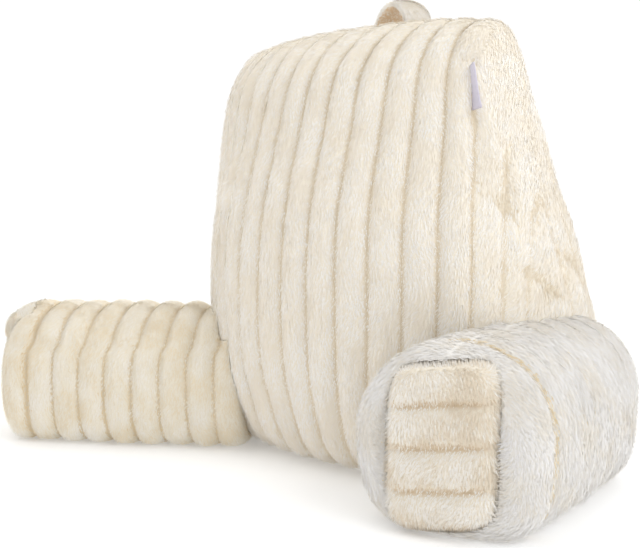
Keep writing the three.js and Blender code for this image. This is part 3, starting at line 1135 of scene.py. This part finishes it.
floor_mesh = bpy.data.meshes.new("floor")
floor_corners = [(x * FLOOR_REACH, y * FLOOR_REACH, 0) for x, y in ((-1, -1), (1, -1), (1, 1), (-1, 1))]
floor_mesh.from_pydata(floor_corners, [], [(0, 1, 2, 3)])
floor = link(bpy.data.objects.new("floor", floor_mesh))
floor_finish = plain("floor", (FLOOR_TONE, FLOOR_TONE, FLOOR_TONE, 1), sheen=0)
floor_shader = floor_finish.node_tree.nodes["Principled BSDF"]
floor_shader.inputs["Emission Color"].default_value = (1, 1, 1, 1)
floor_shader.inputs["Emission Strength"].default_value = FLOOR_GLOW
floor_mesh.materials.append(floor_finish)


# Skins

def dress(obj, material, node):
    obj.data.materials.clear()
    obj.data.materials.append(material)
    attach(obj, "root")
    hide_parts(node)


def cutter_from(name, obj, gap_mm):
    """A copy of a skin, a little larger."""
    points, triangles = coordinates(obj.data), triangles_of(obj.data)
    points = points + point_normals(points, triangles) * gap_mm * MM
    points[:, 2] += np.where(points[:, 2] < CUTTER_SINK * MM, -CUTTER_SINK * MM, 0)
    return make(name, points / MM, triangles.tolist())


points, faces, fields = back_form()
back = make("back_skin", points, faces, **fields)
swell(back, SWELL_LIMIT)
smooth(back)
back_tree = tree_of(back)

arm_skins, cap_skins, whole_arms = {}, {}, []
for side, row in ARMS.items():
    points, faces, fields = arm_form(row)
    arm = arm_skins[side] = make(f"arm_{side}_skin", points, faces, **fields)
    swell(arm, SWELL_LIMIT)
    smooth(arm)
    whole_arms.append(tree_of(arm))
    points, faces, _ = cap_form(row, RECESS_GROW, True)
    cut_away(arm, make("recess", points, faces))
    cut_away(arm, cutter_from("back_cutter", back, ARM_CUT_GAP))
    points, faces, fields = cap_form(row, CAP_GROW, False)
    end = cap_skins[side] = make(f"cap_{side}_skin", points, faces, **fields)
    swell(end, CAP_SWELL_LIMIT)
    smooth(end)
    # The near arm's skin takes the greyer, darker copy of the cloth, as painted shade.
    dress(arm, near_shaded_plush if side == "right" else plush, f"arm_{side}")
    # Both end panels take the darker copy of the cloth, as painted shade.
    dress(end, end_plush, f"cap_{side}")
dress(back, plush, "backrest")

points, faces, fields = strap_form()
strap = make("strap_skin", points, faces, **fields)
cut_away(strap, cutter_from("back_cutter", back, STRAP_CUT_GAP))
dress(strap, strap_plush, "handle")

points, faces = tag_form()
tag = make("side_tag", points, faces)
tag.data.materials.append(tape)
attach(tag, "root")
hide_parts("side_label")


# Pile of each piece

arm_trees = {side: tree_of(obj) for side, obj in arm_skins.items()}
cap_trees = {side: tree_of(obj) for side, obj in cap_skins.items()}


def front_faces(n):
    return (n[:, 1] < 0) & (np.abs(n[:, 0]) < FRONT_EDGE)


def near_side(n):
    return ~front_faces(n) & (n[:, 0] > SIDE_EDGE)


def far_side(n):
    return ~front_faces(n) & (n[:, 0] < -SIDE_EDGE)


def rear_faces(n):
    return ~front_faces(n) & (np.abs(n[:, 0]) <= SIDE_EDGE)


def everywhere(n):
    return np.ones(len(n), bool)


near_arm, far_arm = [(tree, PIECE_GAP, PIECE_GAP) for tree in whole_arms]
whole_back = (back_tree, PIECE_GAP, PIECE_GAP)
pile("pile_back_front", back, HAIRS["front"], front_faces, [near_arm, far_arm], 1, BODY_PILE)
pile("pile_back_near", back, HAIRS["near"], near_side, [near_arm], 2, BODY_PILE)
pile("pile_back_far", back, HAIRS["far"], far_side, [far_arm], 3, BODY_PILE)
pile("pile_back_rear", back, HAIRS["rear"], rear_faces, [near_arm, far_arm], 4, BODY_PILE)
for k, (side, arm) in enumerate(arm_skins.items()):
    # Each arm and end panel takes a shaded copy of the pile, as painted shade: a greyer one on the near
    # arm, a darker one on its end panel, and a warmer, deeper one on the far arm and its end panel.
    arm_tones, cap_tones = (NEAR_SHADED_PILE, END_SHADED_PILE) if side == "right" else (FAR_SHADED_PILE, FAR_SHADED_PILE)
    round_arm = [whole_back, (cap_trees[side], None, ARM_CAP_GAP)]
    round_cap = [(arm_trees[side], None, CAP_ARM_GAP)]
    pile(f"pile_arm_{side}", arm, HAIRS["arm"], everywhere, round_arm, 5 + k, arm_tones)
    pile(f"pile_cap_{side}", cap_skins[side], HAIRS["cap"], everywhere, round_cap, 7 + k, cap_tones)
pile(
    "pile_strap", strap, HAIRS["strap"], everywhere, [whole_back], 9, STRAP_PILE,
    STRAP_PILE_LENGTH, STRAP_PILE_WIDTH, STRAP_PILE_LIFT,
)
